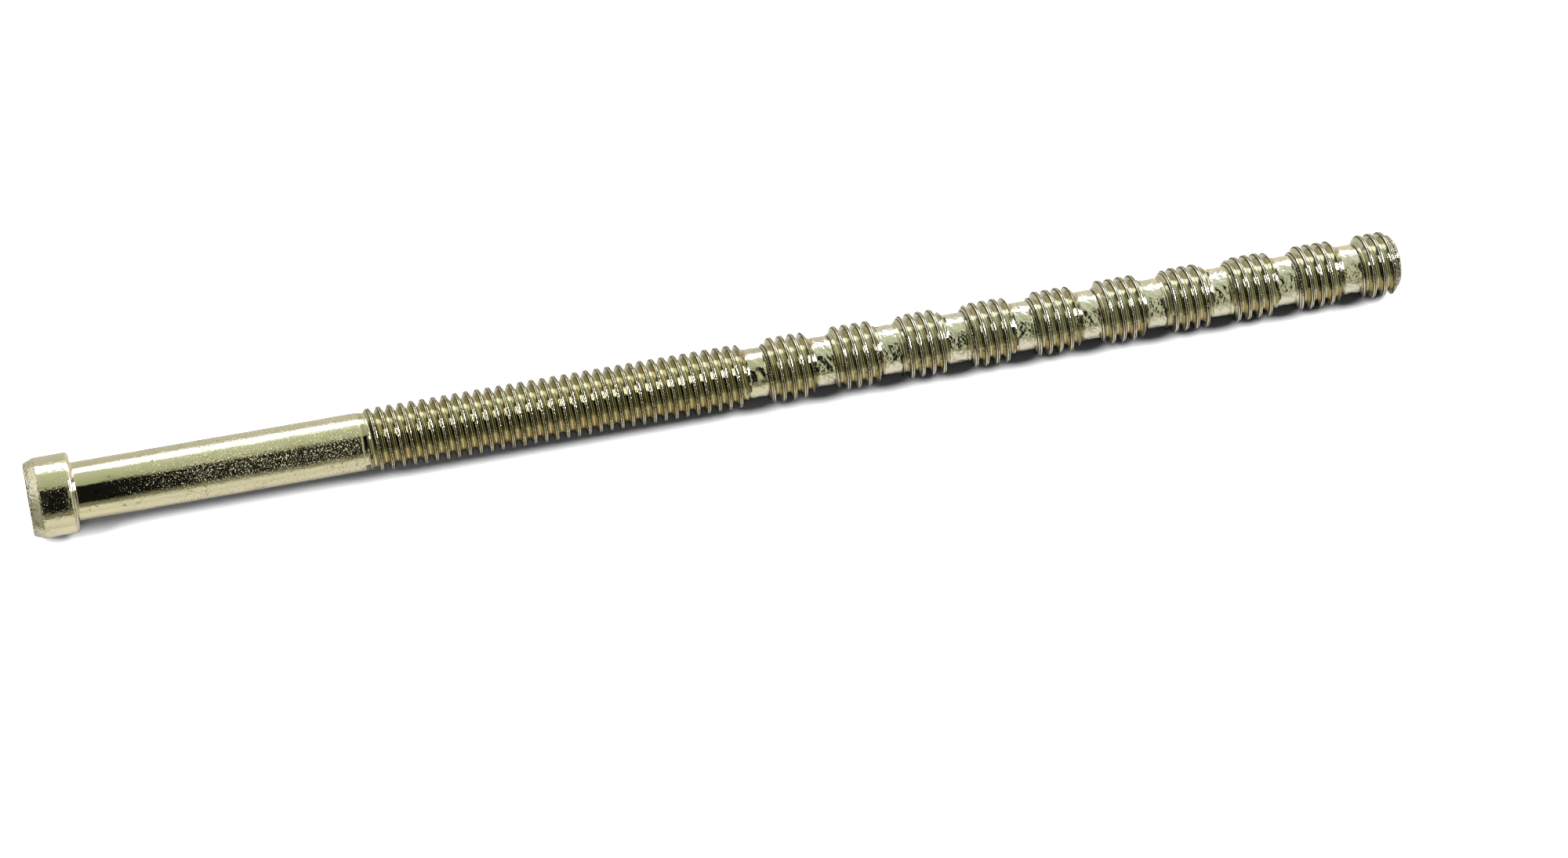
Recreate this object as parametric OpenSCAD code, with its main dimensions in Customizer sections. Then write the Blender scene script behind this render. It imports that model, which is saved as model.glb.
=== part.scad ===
// Break-off machine screw with a slim cylindrical socket head.
// The shank is plain under the head, then threaded. Past the main run the thread is
// cut by necks at even steps, so that the end can be snapped to length.
// The axis lies along +X, with the head's bearing face at X = 0 and the tip at +X.
// Sizes are in millimetres.

/* [Head] */
// Diameter of the head
head_d = 5.84; // [5.4:0.02:8]
// Height of the head above its bearing face
head_h = 3.3; // [3:0.1:5]
// Length along the axis of the chamfer round the outer end
head_chamfer_l = 0.8; // [0.2:0.05:1.2]
// Depth of that chamfer towards the axis
head_chamfer_depth = 0.32; // [0.1:0.02:0.5]
// Rounding of the edge round the bearing face
head_edge_r = 0.25; // [0.05:0.05:0.4]

/* [Socket] */
// Width of the hexagon socket across its flats
socket_af = 3; // [2:0.1:3.5]
// Depth of the socket's straight walls
socket_depth = 1.9; // [1:0.1:2.2]
// Slope of the socket's conical floor, in degrees
socket_floor_slope = 30; // [10:1:40]
// Depth of the countersink round the socket's mouth
socket_lead_in = 0.2; // [0.05:0.05:0.4]

/* [Shank] */
// Diameter of the plain shank
shank_d = 4.26; // [4:0.02:4.5]
// Length from the bearing face to the start of the thread
shank_l = 21; // [10:0.1:40]
// Radius of the fillet under the head
shank_fillet = 0.3; // [0.05:0.05:0.35]
// Length of the taper where the shank runs down to the thread's root
shank_taper_l = 0.45; // [0.1:0.05:0.8]

/* [Thread] */
// Advance of the right-hand thread in one turn
pitch = 0.8; // [0.7:0.05:1]
// Diameter over the crests of the main run
thread_d = 4.65; // [4.5:0.01:4.9]
// Diameter at the roots
root_d = 3.68; // [3.5:0.02:4]
// Width of the flat along a crest
crest_w = 0.2; // [0.05:0.01:0.25]
// Width of the flat along a root
root_w = 0.1; // [0.05:0.01:0.25]
// Length of the main run, up to the first neck
run_l = 27.9; // [10:0.1:60]
// Distance from the start of the thread to the first crest, on the +Y side
first_crest = 0.34; // [0.1:0.02:0.8]

/* [Break-off end] */
// How many pieces can be snapped off
piece_count = 10; // [1:1:12]
// Distance from one neck to the next
piece_step = 5; // [4:0.1:8]
// Diameter over the crests of a piece
piece_d = 4.78; // [4.6:0.02:5]
// Diameter of a neck
neck_d = 3.65; // [3:0.05:3.9]
// Length of a neck's plain floor
neck_l = 1.35; // [0.6:0.05:2]
// Length along the axis of the slope from a neck up to the crests
shoulder_l = 0.42; // [0.2:0.02:0.8]

/* [Tip] */
// Length of the last piece
tip_l = 3.1; // [2:0.1:5]
// Diameter of the flat end face
tip_d = 3.4; // [2.6:0.1:3.6]
// Length along the axis of the chamfer round the tip
tip_chamfer_l = 0.7; // [0.3:0.05:1]

/* [Hidden] */
plating = [0.80, 0.78, 0.60];
round_steps = 96;
hex_sides = 6;
// How far a cut runs past the face that it opens
cut_over = 0.1;
// Flats round one turn of the thread
thread_sides = 16;
// Place of the first corner past the +Y side, in flats. A half lays one flat downwards.
first_corner = 0.5;
// How deep the thread's core sits in the end of the shank
core_seat = 0.3;
// Width of the rim left round the core on the shank's end
core_rim = 0.03;

head_r = head_d / 2;
shank_r = shank_d / 2;
root_r = root_d / 2;
neck_r = neck_d / 2;
socket_corner_r = socket_af / 2 / cos(180 / hex_sides);
socket_floor_h = socket_af / 2 * tan(socket_floor_slope);

// One tooth seen along the axis: root flat, rising flank, crest flat, falling flank
flank_w = (pitch - crest_w - root_w) / 2;
tooth_x = [0, root_w, root_w + flank_w, root_w + flank_w + crest_w];
tooth_knots = len(tooth_x);
first_crest_knot = 2;
crest_mid = tooth_x[first_crest_knot] + crest_w / 2;
// Where a root flat starts on the +Y side, as a share of one pitch past the bearing face
thread_start = (shank_l + first_crest - crest_mid) % pitch;

run_end = shank_l + run_l;
function neck_x(i) = run_end + i * piece_step;
function piece_end(i) = i < piece_count - 1 ? neck_x(i + 1) : neck_x(i) + neck_l + tip_l;

// A threaded stretch: its two ends, the radius at each end, the radius over its crests
// and the length of the slope at each end
core_stub = [shank_l - core_seat, shank_l - core_seat, root_r, root_r, root_r, 1, 1];
main_run = [shank_l, run_end, root_r, neck_r, thread_d / 2, shoulder_l, shoulder_l];
function piece(i) =
    let (last = i == piece_count - 1)
    [neck_x(i) + neck_l, piece_end(i), neck_r, last ? tip_d / 2 : neck_r, piece_d / 2,
     shoulder_l, last ? tip_chamfer_l : shoulder_l];
stretches = concat([core_stub, main_run], [for (i = [0 : piece_count - 1]) piece(i)]);

// Radius allowed by the slopes at the two ends of a stretch
function end_slope(r_end, r_crest, along, slope_l) = r_end + (r_crest - r_end) * along / slope_l;
function slope_limit(s, x) =
    min(end_slope(s[2], s[4], x - s[0], s[5]), end_slope(s[3], s[4], s[1] - x, s[6]));

// Knot q of the tooth line at column i, held within its stretch.
// A right-hand thread moves on by pitch / thread_sides from one column to the next.
function part_turn(i) = (i + first_corner) / thread_sides;
function knot_x(q, i) =
    thread_start + pitch * (floor(q / tooth_knots) + part_turn(i)) + tooth_x[q % tooth_knots];
function knot_point(s, q, i) =
    let (
        x = min(max(knot_x(q, i), s[0]), s[1]),
        tooth_r = q % tooth_knots < first_crest_knot ? root_r : s[4],
        r = x == s[0] ? s[2] : x == s[1] ? s[3] : min(tooth_r, slope_limit(s, x)),
        turn = 360 * part_turn(i)
    )
    [x, r * cos(turn), r * sin(turn)];
// A stretch's first and last knots lie outside it in every column, so its ends are flat rings
function first_knot(s) = tooth_knots * floor((s[0] - thread_start) / pitch - 2);
function last_knot(s) = tooth_knots * ceil((s[1] - thread_start) / pitch + 1);

module turned_profile() {
    difference() {
        union() {
            polygon([
                [0, -head_h], [head_r - head_chamfer_depth, -head_h],
                [head_r, head_chamfer_l - head_h], [head_r, 0], [0, 0]]);
            polygon([
                [0, 0], [shank_r, 0], [shank_r, shank_l - shank_taper_l],
                [root_r + core_rim, shank_l], [0, shank_l]]);
            difference() {
                square([shank_r + shank_fillet, shank_fillet]);
                translate([shank_r + shank_fillet, shank_fillet]) circle(shank_fillet, $fn = round_steps);
            }
        }
        translate([head_r - head_edge_r, -head_edge_r]) difference() {
            square(head_edge_r + cut_over);
            circle(head_edge_r, $fn = round_steps);
        }
    }
}

module socket() {
    lead_r = socket_corner_r + cut_over;
    translate([0, 0, -head_h]) {
        translate([0, 0, -cut_over])
            cylinder(h = socket_depth + cut_over, r = socket_corner_r, $fn = hex_sides);
        translate([0, 0, -cut_over])
            cylinder(h = socket_lead_in + cut_over, r1 = lead_r, r2 = lead_r - socket_lead_in - cut_over,
                     $fn = round_steps);
        translate([0, 0, socket_depth])
            cylinder(h = socket_floor_h, r1 = socket_af / 2, r2 = 0, $fn = round_steps);
    }
}

module head_and_shank() {
    rotate([0, 90, 0]) difference() {
        rotate_extrude($fn = round_steps) turned_profile();
        socket();
    }
}

// The whole threaded length as one closed skin: main run, necks, pieces and tip
module thread() {
    knots = [for (s = stretches) for (q = [first_knot(s) : last_knot(s)]) [s, q]];
    points = [for (k = knots) for (i = [0 : thread_sides - 1]) knot_point(k[0], k[1], i)];
    // After a full turn a tooth meets its neighbour, one pitch further on
    function corner(k, i) =
        i < thread_sides ? k * thread_sides + i
        : (k + min(tooth_knots, last_knot(knots[k][0]) - knots[k][1])) * thread_sides;
    function whole(f) =
        points[f[0]] != points[f[1]] && points[f[1]] != points[f[2]] && points[f[2]] != points[f[0]];
    skin = [for (k = [0 : len(knots) - 2]) for (i = [0 : thread_sides - 1])
        let (a = corner(k, i), b = corner(k + 1, i), c = corner(k + 1, i + 1), d = corner(k, i + 1))
        each [[a, b, c], [a, c, d]]];
    start_cap = [for (i = [0 : thread_sides - 1]) i];
    end_cap = [for (i = [thread_sides - 1 : -1 : 0]) (len(knots) - 1) * thread_sides + i];
    polyhedron(points, concat([start_cap], [for (f = skin) if (whole(f)) f], [end_cap]));
}

module screw() {
    color(plating) {
        head_and_shank();
        thread();
    }
}

screw();
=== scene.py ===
import math

import bpy
import numpy as np
from mathutils import Matrix, Vector


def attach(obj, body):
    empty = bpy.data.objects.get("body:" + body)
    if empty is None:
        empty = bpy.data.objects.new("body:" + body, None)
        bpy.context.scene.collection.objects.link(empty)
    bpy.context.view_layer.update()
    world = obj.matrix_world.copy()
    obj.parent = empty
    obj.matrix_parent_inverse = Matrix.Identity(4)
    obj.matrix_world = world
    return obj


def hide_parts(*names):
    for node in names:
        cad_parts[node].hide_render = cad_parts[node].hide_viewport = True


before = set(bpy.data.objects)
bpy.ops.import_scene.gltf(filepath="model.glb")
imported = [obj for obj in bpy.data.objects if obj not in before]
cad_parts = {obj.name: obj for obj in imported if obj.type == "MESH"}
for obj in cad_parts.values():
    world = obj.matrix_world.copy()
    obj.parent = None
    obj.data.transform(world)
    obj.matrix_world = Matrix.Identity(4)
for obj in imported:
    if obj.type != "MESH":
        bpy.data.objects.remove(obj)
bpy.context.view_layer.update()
bpy.context.scene.view_settings.view_transform = "Standard"

# Headed blank
# The screw starts as a steel wire whose end is upset into a slim cylindrical head.
# A punch sinks the hexagon socket, and the shank below the head stays plain.
MM = 0.001  # sizes are in millimetres
TURN = 2 * math.pi
COLUMNS = 60

head_r = 2.92
head_h = 3.3
chamfer_l = 0.8
chamfer_depth = 0.32
face_edge_r = 0.16
chamfer_edge_r = 0.45
bearing_edge_r = 0.32

hex_flat_r = 1.5
hex_corner_r = hex_flat_r / math.cos(math.pi / 6)
hex_depth = 1.9
hex_lead_in = 0.2
hex_ledge = 0.03
hex_floor_h = hex_flat_r * math.tan(math.radians(30))
first_wall_step = 0.04
first_mouth_step = 0.03
mouth_rim = 0.04

shank_r = 2.13
shank_l = 21.0
shank_fillet_r = 0.14
shank_taper_l = 0.45
taper_edge_r = 0.35
run_out_r = 2.06
row_step = 0.7

# Where the blank is a little uneven, and by how much
head_side_x = (-2.4, -0.3)
shank_side_x = (0.4, 20.4)
head_unevenness = 0.0015
shank_unevenness = 0.004
blank_ripple_l = 2.6
blank_waves = 20
blank_seed = 5

# What the plating reads from the mesh: specks, wrinkles, depth in the thread with its painted shade, and
# wear.
# Along the blank they are given as places on the axis and amounts.
looks = ("grain", "wrinkled", "hollow", "worn")
socket_grain = 0.48
# The socket takes the flanks' olive and brown, partly tarnish and partly painted shade of the recess
socket_hollow = 0.4
grain_along = [(-0.1, 0.27), (0, 0), (1, 0), (3, 0.3), (9, 0.48), (20.5, 0.48), (20.6, 0.2)]
wrinkled_along = [
    (-3.3, 0.82), (-3.15, 0.8), (-2.9, 0.69), (-2.6, 0.72), (-2.5, 0.8), (-2.4, 0.645), (-0.3, 0.645),
    (-0.2, 0)]
worn_along = [(-2.6, 0.4), (-2.4, 0), (-0.3, 0), (-0.2, 0.8), (-0.01, 0.8), (0, 0)]

turn = np.arange(COLUMNS) * TURN / COLUMNS
blocks = []


def rounded_profile(corners, radii, steps=6):
    """Points along a line of straight runs whose inner corners are rounded.
    Each corner's arc touches both of its runs: it starts and ends at radius / tan(half angle)
    from the corner, and its centre lies at radius / sin(half angle) on the bisector."""
    corners = np.array(corners, float)
    line = [corners[:1]]
    for before, at, after, radius in zip(corners, corners[1:], corners[2:], radii):
        back = (before - at) / np.linalg.norm(before - at)
        ahead = (after - at) / np.linalg.norm(after - at)
        half = math.acos(float(back @ ahead)) / 2
        bisector = (back + ahead) / np.linalg.norm(back + ahead)
        centre = at + bisector * radius / math.sin(half)
        start = at + back * radius / math.tan(half) - centre
        end = at + ahead * radius / math.tan(half) - centre
        share = np.linspace(0, 1, steps)[:, None]
        spread = math.pi - 2 * half
        arc = (np.sin((1 - share) * spread) * start + np.sin(share * spread) * end) / math.sin(spread)
        line.append(centre + arc)
    line.append(corners[-1:])
    return np.concatenate(line)


def filled(line, step):
    """The same line with points added so that no straight run is longer than step."""
    runs = np.maximum(1, np.ceil(np.linalg.norm(np.diff(line, axis=0), axis=1) / step)).astype(int)
    inner = [np.linspace(a, b, n, endpoint=False) for a, b, n in zip(line, line[1:], runs)]
    return np.concatenate(inner + [line[-1:]])


def hexagon(flat_r):
    """Radius of a hexagon at each column, corners at 30 degrees and every sixth of a turn:
    flat radius / cos(angle from the middle of the flat)."""
    from_flat = (turn + math.pi / 6) % (math.pi / 3) - math.pi / 6
    return flat_r / np.cos(from_flat)


def socket_rows():
    """Axial place and radius of the socket's rows, from the tip of its floor to its mouth.
    The floor is a cone, the walls a hexagon, and the mouth the larger of hexagon and lead-in cone."""
    share = np.linspace(0, 1, 6)[:, None]
    floor_x = -head_h + hex_depth + hex_floor_h * (1 - share) + 0 * turn
    floor_radius = (hex_flat_r - hex_ledge) * share + 0 * turn
    walls = np.linspace(hex_depth - first_wall_step, hex_lead_in, 6)
    mouth = np.linspace(hex_lead_in - first_mouth_step, 0, 5)
    depth = np.concatenate([[hex_depth], walls, mouth])
    cone = np.where(depth <= hex_lead_in, hex_corner_r - depth, 0)[:, None]
    wall_radius = np.maximum(hexagon(hex_flat_r) + 0 * cone, cone)
    wall_x = -head_h + depth[:, None] + 0 * turn
    return np.concatenate([floor_x, wall_x]), np.concatenate([floor_radius, wall_radius])


def blank_rows():
    """Axial place and radius of the rows from the socket's mouth, over the head, to the thread,
    whose own first row closes the taper."""
    line = rounded_profile(
        [(-head_h, hex_corner_r + mouth_rim), (-head_h, head_r - chamfer_depth), (chamfer_l - head_h, head_r),
         (0, head_r), (0, shank_r), (shank_l - shank_taper_l, shank_r), (shank_l, run_out_r)],
        [face_edge_r, chamfer_edge_r, bearing_edge_r, shank_fillet_r, taper_edge_r])
    line = filled(line, row_step)[:-1]
    return line[:, :1] + 0 * turn, line[:, 1:] + 0 * turn


def ripple(x, around, length, waves, seed):
    """Smooth unevenness of about unit size over the screw's side: a sum of sine waves of
    random direction, with whole numbers of waves round the girth so that it closes."""
    draw = np.random.default_rng(seed)
    girth = TURN * shank_r
    along = draw.normal(0, TURN / length, waves)
    across = np.rint(draw.normal(0, girth / length, waves))
    phase = draw.uniform(0, TURN, waves)
    angle = along * x[..., None] + across * around[..., None] + phase
    return np.sin(angle).sum(-1) * math.sqrt(2 / waves)


def read_off(stops, value):
    """The amount at each value, on straight lines between stops of place and amount."""
    places, amounts = zip(*stops)
    return np.interp(value, places, amounts)


def within(x, ends):
    """Whether each place lies between two ends."""
    return (x > ends[0]) & (x < ends[1])


def add_block(x, radius, held=None, seam_step=0, **amounts):
    """Adds rows to the skin. Each point belongs to its own row unless held names another, after
    one turn a row meets the row seam_step further on, and looks without an amount are 0."""
    first = sum(len(block["x"]) for block in blocks)
    rows = np.arange(len(x))
    if held is None:
        held = np.repeat(rows[:, None], COLUMNS, axis=1)
    meets = np.minimum(rows + seam_step, len(x) - 1)
    block = {"x": x, "radius": radius, "held": held + first, "meets": meets + first}
    blocks.append(block | {look: amounts.get(look, 0.0) + 0 * x for look in looks})


add_block(*socket_rows(), grain=socket_grain, hollow=socket_hollow)
blank_x, blank_radius = blank_rows()
on_side = within(blank_x, head_side_x) | within(blank_x, shank_side_x)
unevenness = np.where(blank_x < 0, head_unevenness, shank_unevenness)
blank_ripple = ripple(blank_x, turn + 0 * blank_x, blank_ripple_l, blank_waves, blank_seed)
add_block(
    blank_x, blank_radius + on_side * unevenness * blank_ripple, grain=read_off(grain_along, blank_x),
    wrinkled=read_off(wrinkled_along, blank_x), worn=read_off(worn_along, blank_x))

# Rolled thread and break-off end
# The thread is rolled into the shank, right-hand, and its two lips meet in a seam along each crest.
# Necks are rolled across it at even steps, so that ten pieces can be snapped off.
pitch = 0.8
first_crest_x = shank_l + 0.34
root_r = 1.84
main_crest_r = 2.325
piece_crest_r = 2.39
neck_r = 1.825
run_end_x = 48.9
piece_count = 10
piece_step = 5.0
neck_l = 1.35
neck_rows = 8
tip_l = 3.1
tip_r = 1.7
tip_chamfer_l = 0.75
tip_ring_share = 0.85
shoulder_l = 0.54
shoulder_power = 1.3
shoulder_over = 0.02
run_out_l = 1.0
main_seam = 0.045
piece_seam = 0.085

# Unevenness of seams, lips, shoulders and necks
ripple_waves = 24
seam_ripple = 0.5
seam_ripple_l = 0.9
lip_drop = 0.05
lip_ripple = 0.008
lip_ripple_l = 0.7
sway_once = 0.16
sway_thrice = 0.08
neck_ripple = 0.012
neck_ripple_l = 0.8
main_seed = 11
neck_seed = 31
piece_seed = 51
piece_seed_step = 3

# One tooth: places along the axis from the crest's middle, and drops below the crest as shares
# of the tooth's depth. A seam splits the crest into two lips.
lip_edge_x = 0.136
root_edge_x = 0.372
half_tooth_x = np.array([0.036, 0.058, 0.096, lip_edge_x, 0.186, 0.30, root_edge_x])
half_tooth_drop = np.array([0, 0, 0.033, 0.115, 0.31, 0.84, 1.0])
tooth_x = np.concatenate([-half_tooth_x[::-1], [0], half_tooth_x])
tooth_drop = np.concatenate([half_tooth_drop[::-1], [0], half_tooth_drop])

# Painted shade lies in the seam, in a dark line beside each lip and on the flank behind the crest.
# There the hollow look rises over 1, and elsewhere it is the drop.
seam_shade = 6.0
lip_line_shade = 3.0
flank_shade = 1.14
in_seam = tooth_x == 0
beside_crest = abs(tooth_x) == lip_edge_x
behind_crest = within(tooth_x, (lip_edge_x, root_edge_x))
tooth_shade = np.select(
    [in_seam, beside_crest, behind_crest], [seam_shade, lip_line_shade - tooth_drop, flank_shade - tooth_drop], 0)

# Looks of crests, necks and tip. The crests are told by their drop, and the seam by its painted shade.
main_crest_share = [(0.08, 1), (0.2, 0), (seam_shade - 1, 0), (seam_shade, 1)]
piece_crest_share = [(0.05, 1), (0.12, 0), (seam_shade - 1, 0), (seam_shade, 1)]
piece_hollow = [(0, 0), (0.9, 0.16), (1, 1), (seam_shade, seam_shade)]
main_grain = 0.48
main_wrinkled = 0.78
piece_grain = 0.44
piece_wrinkled = 0.62
neck_grain = 0.3
first_neck_wrinkled = 0.62
neck_wrinkled = 0.73
tip_looks_from = 1.2
tip_looks_full = 0.7
tip_grain = 0.48
tip_wrinkled = 0.84
tip_face_wrinkled = 1.0

no_radius = 1e-6
sharp_from = math.radians(52)


def thread_rows(start, end, start_r, end_r, crest_r, start_slope, end_slope, seam_depth, seed, run_out=0.0):
    """Rows of one threaded stretch, for each point the row that holds it, and its hollow look.
    A knot lies at first crest + pitch * (tooth + turn / full turn) + its place on the tooth,
    held within the stretch. Its radius is the crest less its drop, and no more than the rounded
    shoulders allow: end radius + height * (1 - (1 - distance / slope) ** power).
    Over the run-out the roots deepen from the start radius. Points held at an end share the row
    next to it, so an end is a clean ring. The hollow look is the drop with the tooth's painted shade."""
    first = math.floor((start - first_crest_x) / pitch) - 1
    last = math.ceil((end - first_crest_x) / pitch) + 1
    tooth = np.repeat(np.arange(first, last), len(tooth_x))[:, None]
    place, drop, seam, painted_shade = (
        np.tile(line, last - first)[:, None] for line in (tooth_x, tooth_drop, in_seam, tooth_shade))
    free = first_crest_x + pitch * (tooth + turn / TURN) + place
    x = np.clip(free, start, end)
    around = turn + 0 * x
    shallow = np.clip(1 - (x - start) / run_out, 0, 1) if run_out else 0
    radius = crest_r - (crest_r - root_r - (start_r - root_r) * shallow) * drop
    seam_change = seam_ripple * ripple(x, around, seam_ripple_l, ripple_waves, seed)
    radius = radius - seam * seam_depth * (1 + seam_change)
    radius = radius + (drop < lip_drop) * lip_ripple * ripple(x, around, lip_ripple_l, ripple_waves, seed + 1)
    sway = 1 + sway_once * np.sin(turn + seed) + sway_thrice * np.sin(3 * turn + 2 * seed)
    for distance, slope, low in ((x - start, start_slope, start_r), (end - x, end_slope, end_r)):
        rise = 1 - (1 - np.clip(distance / (slope * sway), 0, 1)) ** shoulder_power
        radius = np.minimum(radius, low + (crest_r + shoulder_over - low) * rise)
    rows = np.arange(len(x))[:, None]
    low_row = (free <= start).sum(0) - 1
    high_row = len(x) - (free >= end).sum(0)
    return x, radius, np.clip(rows, low_row, high_row), drop + painted_shade + 0 * x


def neck_floor(start, end, seed):
    """Rows of a neck's plain floor between two shoulders, a little uneven."""
    x = np.linspace(start, end, neck_rows + 2)[1:-1, None] + 0 * turn
    return x, neck_r + neck_ripple * ripple(x, turn + 0 * x, neck_ripple_l, ripple_waves, seed)


def stacked(field):
    """One field of all blocks, row under row."""
    return np.concatenate([block[field] for block in blocks])


def skin_mesh(name):
    """One closed mesh from the blocks: columns round the axis, rows along it, two triangles
    between neighbours. The last column meets the first, moved on by one tooth in a thread.
    Rows of no radius close to one point, and triangles without area are left out."""
    x = stacked("x")
    radius = stacked("radius")
    column = np.where(radius > no_radius, np.arange(COLUMNS), 0)
    number = stacked("held") * COLUMNS + column
    number = np.concatenate([number, number[stacked("meets"), :1]], axis=1)
    a, b, c, d = number[:-1, :-1], number[1:, :-1], number[1:, 1:], number[:-1, 1:]
    faces = np.concatenate([
        np.stack([a, c, b], -1).reshape(-1, 3), np.stack([a, d, c], -1).reshape(-1, 3)])
    whole = (faces[:, 0] != faces[:, 1]) & (faces[:, 1] != faces[:, 2]) & (faces[:, 2] != faces[:, 0])
    used, faces = np.unique(faces[whole], return_inverse=True)
    points = np.stack([x, radius * np.cos(turn), radius * np.sin(turn)], -1).reshape(-1, 3)[used] * MM
    mesh = bpy.data.meshes.new(name)
    mesh.from_pydata(points, [], faces.reshape(-1, 3))
    for look in looks:
        values = stacked(look).reshape(-1)[used]
        mesh.attributes.new(look, "FLOAT", "POINT").data.foreach_set("value", values.astype(np.float32))
    mesh.shade_smooth()
    mesh.set_sharp_from_angle(angle=sharp_from)
    return mesh


x, radius, held, hollow = thread_rows(
    shank_l, run_end_x, run_out_r, neck_r, main_crest_r, shoulder_l, shoulder_l, main_seam, main_seed,
    run_out_l)
on_crest = read_off(main_crest_share, hollow)
add_block(
    x, radius, held, len(tooth_x), grain=main_grain * on_crest, wrinkled=main_wrinkled * on_crest,
    hollow=hollow)
for piece in range(piece_count):
    neck_start = run_end_x + piece * piece_step
    piece_start = neck_start + neck_l
    is_tip = piece == piece_count - 1
    piece_end = piece_start + tip_l if is_tip else neck_start + piece_step
    end_r, end_slope = (tip_r, tip_chamfer_l) if is_tip else (neck_r, shoulder_l)
    add_block(
        *neck_floor(neck_start, piece_start, neck_seed + piece), grain=neck_grain,
        wrinkled=neck_wrinkled if piece else first_neck_wrinkled)
    x, radius, held, hollow = thread_rows(
        piece_start, piece_end, neck_r, end_r, piece_crest_r, shoulder_l, end_slope, piece_seam,
        piece_seed + piece_seed_step * piece)
    on_crest = read_off(piece_crest_share, hollow)
    near_tip = is_tip * read_off([(piece_end - tip_looks_from, 0), (piece_end - tip_looks_full, 1)], x)
    add_block(
        x, radius, held, len(tooth_x), grain=np.maximum(piece_grain * on_crest, tip_grain * near_tip),
        wrinkled=np.maximum(piece_wrinkled * on_crest, tip_wrinkled * near_tip),
        hollow=read_off(piece_hollow, hollow))
tip_share = np.linspace(tip_ring_share, 0, 5)[:, None] + 0 * turn
add_block(piece_end + 0 * tip_share, tip_r * tip_share, grain=tip_grain, wrinkled=tip_face_wrinkled)
skin = bpy.data.objects.new("screw_skin", skin_mesh("screw_skin"))

# Plating
# Pale yellow-green zinc over the whole screw, glossy and a little pitted. It is paler towards the
# tip and rubbed dull along the head's edges. The thread's flanks and the socket are olive and brown,
# partly tarnish and partly painted shade of the grooves, and painted shade darkens each crest's seam,
# a line beside each lip and the flank behind the crest.
pale_zinc = (0.70, 0.64, 0.43, 1)
green_zinc = (0.66, 0.625, 0.41, 1)
silver_zinc = (0.76, 0.735, 0.575, 1)
# Olive and brown of the flanks and socket, partly tarnish and partly painted shade of the grooves
flank_olive = (0.5, 0.475, 0.285, 1)
flank_brown = (0.50, 0.36, 0.19, 1)
worn_zinc = (0.60, 0.59, 0.52, 1)
scratch_brown = (0.36, 0.31, 0.18, 1)
# This dark also paints the shade in the seams, beside the lips and behind the crests
pit_and_shade_brown = (0.09, 0.08, 0.05, 1)
silver_from_x = 44.0
silver_full_x = 60.0

# Noise scales, in waves per metre
drift_scale = 420
stain_scale = 1300
rub_scale = 2200
pit_scale = 9500
scratch_scale = 700
scratch_patch_scale = 330
peel_scale = 5200
wrinkle_scale = 5000
crystal_scale = 10500

# Heights of the bumps, roughness of each finish, and how metallic specks and worn places are
peel_low = 0.003
peel_high = 0.036
wrinkle_high = 0.09
crystal_per_grain = 0.4
bright_finish = 0.05
flank_finish = 0.06
worn_finish = 0.32
speck_finish = 0.42
dull_metal = 0.3


def add_node(tree, kind, inputs=None, **settings):
    """Adds a node. Each input is a value, or another node's output to link."""
    node = tree.nodes.new(kind)
    for name, value in settings.items():
        setattr(node, name, value)
    for name, value in (inputs or {}).items():
        if isinstance(value, bpy.types.NodeSocket):
            tree.links.new(value, node.inputs[name])
        else:
            node.inputs[name].default_value = value
    return node


def math_value(tree, operation, first, second=0.0):
    """A Math node of one or two values or outputs."""
    return add_node(tree, "ShaderNodeMath", {0: first, 1: second}, operation=operation).outputs[0]


def mixed_colour(tree, share, first, second):
    """A Mix node between two colours."""
    return add_node(tree, "ShaderNodeMix", {0: share, 6: first, 7: second}, data_type="RGBA").outputs[2]


def ranged(tree, value, low, high, to_low=0.0, to_high=1.0):
    """A Map Range node, held at its ends."""
    limits = {"From Min": low, "From Max": high, "To Min": to_low, "To Max": to_high}
    return add_node(tree, "ShaderNodeMapRange", {"Value": value, **limits}).outputs["Result"]


def noise(tree, where, scale, detail=2.0, roughness=0.5):
    """A Noise texture's value, with its scale in waves per metre."""
    return add_node(tree, "ShaderNodeTexNoise", {
        "Vector": where, "Scale": scale, "Detail": detail, "Roughness": roughness}).outputs["Fac"]


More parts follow.
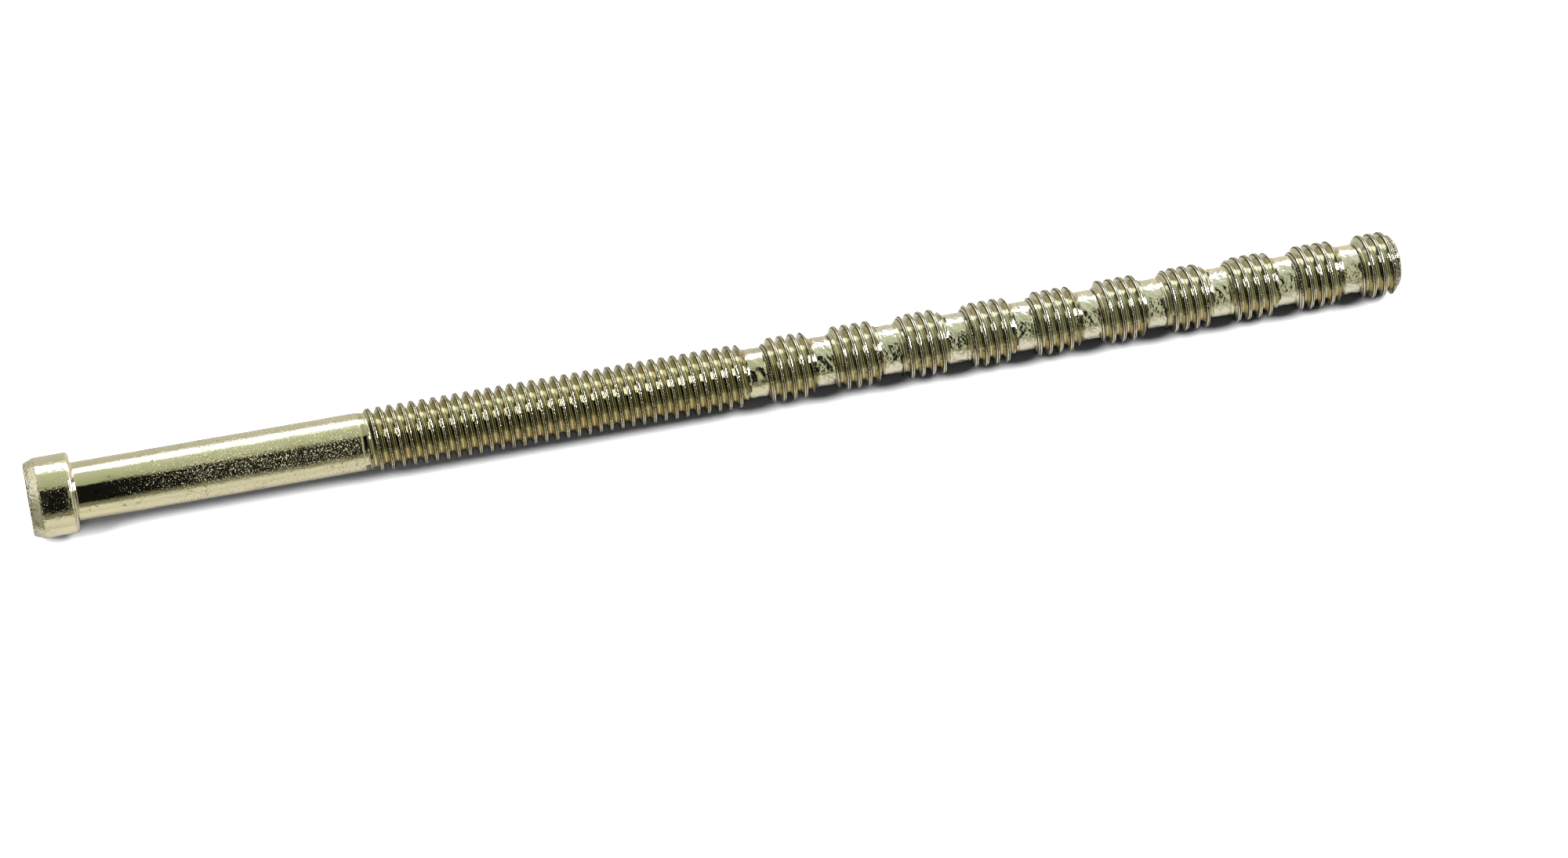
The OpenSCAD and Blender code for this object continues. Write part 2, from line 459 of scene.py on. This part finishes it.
def zinc_plating():
    """Metal whose colour drifts from cream to green and pales towards the tip. Flanks are olive and
    brown, partly tarnish and partly painted shade, worn places greyed, pits and painted shade dark,
    and thin scratches follow the contours of a noise.
    The surface is fine orange peel, higher with the grain, and coarser wrinkles where the wrinkled
    look is high. Specks of the grain and worn places are rougher and less metallic."""
    material = bpy.data.materials.new("zinc_plating")
    material.use_nodes = True
    tree = material.node_tree
    shader = tree.nodes["Principled BSDF"]
    where = add_node(tree, "ShaderNodeTexCoord").outputs["Object"]
    grain, wrinkled, hollow, worn = (
        add_node(tree, "ShaderNodeAttribute", attribute_name=look).outputs["Fac"] for look in looks)

    drift = ranged(tree, noise(tree, where, drift_scale, 3), 0.35, 0.65)
    colour = mixed_colour(tree, drift, pale_zinc, green_zinc)
    along = add_node(tree, "ShaderNodeSeparateXYZ", {0: where}).outputs["X"]
    thin = ranged(tree, along, silver_from_x * MM, silver_full_x * MM)
    colour = mixed_colour(tree, thin, colour, silver_zinc)
    # Flanks are tinted by their depth, partly tarnish and partly painted shade of the grooves
    on_flank = ranged(tree, hollow, 0.05, 0.35)
    above_root = ranged(tree, hollow, 0.995, 0.96)
    flank = math_value(tree, "MULTIPLY", on_flank, above_root)
    stain = ranged(tree, noise(tree, where, stain_scale, 3), 0.5, 0.75)
    tarnish_and_shade = mixed_colour(tree, stain, flank_olive, flank_brown)
    colour = mixed_colour(tree, flank, colour, tarnish_and_shade)
    rubbed = ranged(tree, noise(tree, where, rub_scale, 3), 0.36, 0.56)
    worn = math_value(tree, "MULTIPLY", worn, rubbed)
    colour = mixed_colour(tree, worn, colour, worn_zinc)
    pits_and_shade = ranged(tree, noise(tree, where, pit_scale), 0.5, 0.56)
    pits_and_shade = math_value(tree, "MULTIPLY", pits_and_shade, ranged(tree, wrinkled, 0.72, 0.82))
    # Where the hollow look rises over 1 the dark is painted shade: in the seam, beside each lip and behind
    # the crest
    pits_and_shade = math_value(tree, "MAXIMUM", pits_and_shade, ranged(tree, hollow, 1.05, 1.3))
    colour = mixed_colour(tree, pits_and_shade, colour, pit_and_shade_brown)
    contour = math_value(tree, "SUBTRACT", noise(tree, where, scratch_scale, 3, 0.6), 0.5)
    contour = math_value(tree, "ABSOLUTE", contour)
    scratched = ranged(tree, noise(tree, where, scratch_patch_scale, 1), 0.56, 0.6)
    scratch = math_value(tree, "MULTIPLY", ranged(tree, contour, 0.004, 0.012, 1, 0), scratched)
    colour = mixed_colour(tree, scratch, colour, scratch_brown)
    tree.links.new(colour, shader.inputs["Base Color"])

    peel = noise(tree, where, peel_scale, 3, 0.6)
    peel_height = math_value(tree, "MULTIPLY", peel, ranged(tree, grain, 0, 1, peel_low, peel_high))
    wrinkle = noise(tree, where, wrinkle_scale, 0.6)
    wrinkle_height = math_value(tree, "MULTIPLY", wrinkle, ranged(tree, wrinkled, 0.6, 1, 0, wrinkle_high))
    height = math_value(tree, "ADD", peel_height, wrinkle_height)
    bump = add_node(tree, "ShaderNodeBump", {"Strength": 1.0, "Distance": MM, "Height": height})
    tree.links.new(bump.outputs["Normal"], shader.inputs["Normal"])

    crystal = noise(tree, where, crystal_scale)
    crystal = math_value(tree, "ADD", crystal, math_value(tree, "MULTIPLY", grain, crystal_per_grain))
    speck = ranged(tree, crystal, 0.785, 0.805)
    finish = ranged(tree, speck, 0, 1, bright_finish, speck_finish)
    finish = math_value(tree, "MAXIMUM", finish, ranged(tree, worn, 0.4, 1, bright_finish, worn_finish))
    finish = math_value(tree, "MAXIMUM", finish, ranged(tree, flank, 0, 1, bright_finish, flank_finish))
    tree.links.new(finish, shader.inputs["Roughness"])
    dull = math_value(tree, "MAXIMUM", speck, worn)
    tree.links.new(ranged(tree, dull, 0, 1, 1, dull_metal), shader.inputs["Metallic"])
    return material


skin.data.materials.append(zinc_plating())
bpy.context.scene.collection.objects.link(skin)
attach(skin, "root")
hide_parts("screw")

# Floor
# A pale matt table, one flat square far larger than the view. The screw lies loose on it, so it
# slopes by a fraction of a degree to touch the head's rim and the last crests.
head_touch_x = -0.4
tip_touch_x = 97.3
floor_rise = (head_r - piece_crest_r) / (tip_touch_x - head_touch_x)
floor_half = 1500.0
table_half = 4.5
floor_white = (0.8, 0.8, 0.8, 1)
floor_to_camera = (1.6, 1.6, 1.6, 1)
floor_in_metal = (0.72, 0.70, 0.67, 1)
# The table after a second reflection, painted browner and darker as shade in the grooves
groove_shade_floor = (0.64, 0.53, 0.34, 1)
black = (0, 0, 0, 1)
# Limits between whole numbers of bounces
before_first = 0.5
before_second = 1.5


def floor_mesh():
    """A square whose height rises along the axis by floor_rise, so that it meets head and tip."""
    x = np.array([-1, 1, 1, -1]) * floor_half
    y = np.array([-1, -1, 1, 1]) * floor_half
    z = -head_r + (x - head_touch_x) * floor_rise
    mesh = bpy.data.meshes.new("floor")
    mesh.from_pydata(np.stack([x, y, z], -1) * MM, [], [(0, 1, 2, 3)])
    return mesh


def table_white():
    """A plain matt white, raised for the camera so that it shows white under plain lamps. In the
    metal it is a little greyer, and after a second reflection it is painted browner and darker, as
    painted shade in the grooves; it ends a little way from the screw, as a narrow table does. Light
    that has already left a matt surface is taken up, so the shadow stays neutral."""
    material = bpy.data.materials.new("table_white")
    material.use_nodes = True
    tree = material.node_tree
    tree.nodes.clear()
    where = add_node(tree, "ShaderNodeTexCoord").outputs["Object"]
    across = add_node(tree, "ShaderNodeSeparateXYZ", {0: where}).outputs["Y"]
    far = math_value(tree, "GREATER_THAN", math_value(tree, "ABSOLUTE", across), table_half * MM)
    path = add_node(tree, "ShaderNodeLightPath").outputs
    ends = math_value(tree, "MULTIPLY", far, path["Is Glossy Ray"])
    deep = math_value(tree, "GREATER_THAN", path["Glossy Depth"], before_second)
    again = math_value(tree, "GREATER_THAN", path["Diffuse Depth"], before_first)
    tone = mixed_colour(tree, path["Is Camera Ray"], floor_white, floor_to_camera)
    tone = mixed_colour(tree, path["Is Glossy Ray"], tone, floor_in_metal)
    # After a second reflection the table is painted darker, as shade in the grooves
    tone = mixed_colour(tree, deep, tone, groove_shade_floor)
    tone = mixed_colour(tree, again, tone, black)
    matt = add_node(tree, "ShaderNodeBsdfDiffuse", {"Color": tone}).outputs[0]
    clear = add_node(tree, "ShaderNodeBsdfTransparent").outputs[0]
    surface = add_node(tree, "ShaderNodeMixShader", {0: ends, 1: matt, 2: clear}).outputs[0]
    add_node(tree, "ShaderNodeOutputMaterial", {"Surface": surface})
    return material


floor = bpy.data.objects.new("floor", floor_mesh())
floor.data.materials.append(table_white())
bpy.context.scene.collection.objects.link(floor)

# Studio light
# Two broad lamps, turned to the two sides, throw the shadow on the table, and a small one by the
# head lifts it there. The metal reflects none of them, but the listed skies.
lamp_elevation = math.radians(42.3)
lamp_turn = math.radians(77)
lamp_width = math.radians(33)
lamp_strength = 2.9
head_lamp_at = (-5.0, -30.0, 14.0)
head_lamp_towards = (5.0, 0.0, -2.9)
head_lamp_size = 15.0
head_lamp_watts = 0.0016
shadow_fill = 0.055
fill_blue = (0.95, 0.97, 1.0, 1)
white = (1, 1, 1, 1)
end_dark = (0.001, 0.001, 0.0008, 1)
light_scale = 40.0

# Angle in degrees from the far horizon, over the top, to the near one at 180, and radiance there
middle_sky = [
    (-90, (0.7, 0.69, 0.66)), (31, (0.69, 0.68, 0.65)), (36, (2.6, 3, 3.6)), (57, (2.6, 3, 3.6)),
    (60, (0.76, 0.82, 0.70)), (110, (0.47, 0.52, 0.38)), (114, (0.01, 0.01, 0.01)),
    (180, (0.01, 0.01, 0.01)), (184, (0.2, 0.2, 0.15)), (197, (0.3, 0.3, 0.22)),
    (204, (0.95, 0.94, 0.9)), (215, (0.95, 0.94, 0.9)), (235, (0.8, 0.79, 0.76))]
left_sky = [
    (-90, (0.6, 0.58, 0.48)), (12, (0.6, 0.58, 0.48)), (20, (0.8, 0.8, 0.7)), (26, (1.2, 1.2, 1.2)),
    (118, (1.1, 1.1, 1.1)), (124, (0.6, 0.61, 0.52)), (180, (0.3, 0.3, 0.24)), (200, (0.35, 0.33, 0.26))]
right_sky = [
    (-90, (0.9, 0.82, 0.66)), (31, (0.9, 0.82, 0.66)), (36, (2.6, 2.7, 3.0)), (60, (2.6, 2.7, 3.0)),
    (65, (0.9, 0.94, 0.9)), (110, (0.6, 0.63, 0.5)), (114, (0.6, 0.63, 0.47)), (178, (0.6, 0.63, 0.47)),
    (186, (0.5, 0.5, 0.38)), (214, (0.65, 0.63, 0.55))]
side_box = [
    (-90, (0.4, 0.32, 0.24)), (6, (0.6, 0.48, 0.36)), (15, (2, 2, 1.8)), (40, (2, 2, 1.8)),
    (46, (0.3, 0.3, 0.25)), (84, (0.3, 0.3, 0.25)), (88, (28, 30, 40)), (120, (28, 30, 40)),
    (124, (0.01, 0.01, 0.01)), (180, (0.01, 0.01, 0.01)), (195, (0.08, 0.08, 0.06))]
# Shares along the axis where a sky, or the dark at an end of the room, sets in and is full
side_skies = [(-0.12, -0.4, left_sky), (0.16, 0.26, right_sky), (0.66, 0.7, side_box)]
dark_ends = [(0.87, 0.9), (-0.78, -0.86)]


def sky(tree, angle, stops):
    """A colour ramp over the whole round, from straight down at the back to straight down in front,
    with radiances stored as shares of light_scale."""
    node = add_node(tree, "ShaderNodeValToRGB", {"Fac": angle})
    elements = node.color_ramp.elements
    while len(elements) < len(stops):
        elements.new(0.5)
    for element, (place, radiance) in zip(elements, stops):
        element.position = (place + 90) / 360
        element.color = [part / light_scale for part in radiance] + [1]
    return node.outputs["Color"]


def studio_world():
    """Radiance by direction: the angle over the screw's axis picks a tone from each sky, and the
    share along the axis fades from the middle sky to the others and to the dark ends. The camera
    sees white instead, and the matt table only gets shadow_fill."""
    world = bpy.data.worlds.new("studio")
    world.use_nodes = True
    world.cycles.sampling_method = "NONE"
    tree = world.node_tree
    tree.nodes.clear()
    direction = add_node(tree, "ShaderNodeTexCoord").outputs["Generated"]
    along, back, up = add_node(tree, "ShaderNodeSeparateXYZ", {0: direction}).outputs
    angle = ranged(tree, math_value(tree, "ARCTAN2", back, up), math.pi, -math.pi)
    tone = sky(tree, angle, middle_sky)
    for sets_in, full, stops in side_skies:
        tone = mixed_colour(tree, ranged(tree, along, sets_in, full), tone, sky(tree, angle, stops))
    for sets_in, full in dark_ends:
        tone = mixed_colour(tree, ranged(tree, along, sets_in, full), tone, end_dark)
    path = add_node(tree, "ShaderNodeLightPath").outputs
    lit, fill, seen = (
        add_node(tree, "ShaderNodeBackground", {"Color": colour, "Strength": strength}).outputs[0]
        for colour, strength in ((tone, light_scale), (fill_blue, shadow_fill), (white, 1.0)))
    lit = add_node(tree, "ShaderNodeMixShader", {0: path["Diffuse Depth"], 1: lit, 2: fill}).outputs[0]
    surface = add_node(tree, "ShaderNodeMixShader", {0: path["Is Camera Ray"], 1: lit, 2: seen}).outputs[0]
    add_node(tree, "ShaderNodeOutputWorld", {"Surface": surface})
    return world


def add_lamp(name, kind, energy, rotation):
    """Adds a lamp that the metal doesn't reflect."""
    lamp = bpy.data.objects.new(name, bpy.data.lights.new(name, kind))
    lamp.data.energy = energy
    lamp.rotation_euler = rotation
    lamp.visible_glossy = False
    bpy.context.scene.collection.objects.link(lamp)
    return lamp


bpy.context.scene.world = studio_world()
for side, turned in (("left", -lamp_turn), ("right", lamp_turn)):
    lamp = add_lamp(side + "_lamp", "SUN", lamp_strength, (math.pi / 2 - lamp_elevation, 0, turned))
    lamp.data.angle = lamp_width
beam = Vector(head_lamp_towards) - Vector(head_lamp_at)
head_lamp = add_lamp("head_lamp", "AREA", head_lamp_watts, beam.to_track_quat("-Z", "Y").to_euler())
head_lamp.data.size = head_lamp_size * MM
head_lamp.location = Vector(head_lamp_at) * MM
head_lamp.visible_camera = False

# Camera
# It looks down on the screw from the head's side, with a long lens.
# Its place, aim and focal length, in pixels of a picture of this width, were fitted to the photo.
camera_azimuth = math.radians(-13.373)
camera_elevation = math.radians(48.0)
camera_distance = 349.84
focal_px = 6134.5
image_w_px = 2000
aim_on_axis = 52.625
aim_right = -0.779
aim_up = -4.573

towards = Vector((
    math.sin(camera_azimuth) * math.cos(camera_elevation),
    -math.cos(camera_azimuth) * math.cos(camera_elevation),
    math.sin(camera_elevation)))
right = Vector((math.cos(camera_azimuth), math.sin(camera_azimuth), 0))
upward = towards.cross(right)
camera = bpy.data.objects.new("camera", bpy.data.cameras.new("camera"))
camera.data.sensor_fit = "HORIZONTAL"
camera.data.sensor_width = 36.0
camera.data.lens = focal_px / image_w_px * camera.data.sensor_width
camera.data.clip_start = 0.01
camera.data.clip_end = 20.0
aim = Vector((aim_on_axis, 0, 0)) + aim_right * right + aim_up * upward
camera.matrix_world = Matrix.Translation((aim + camera_distance * towards) * MM) @ Matrix(
    (right, upward, towards)).transposed().to_4x4()
bpy.context.scene.collection.objects.link(camera)
bpy.context.scene.camera = camera
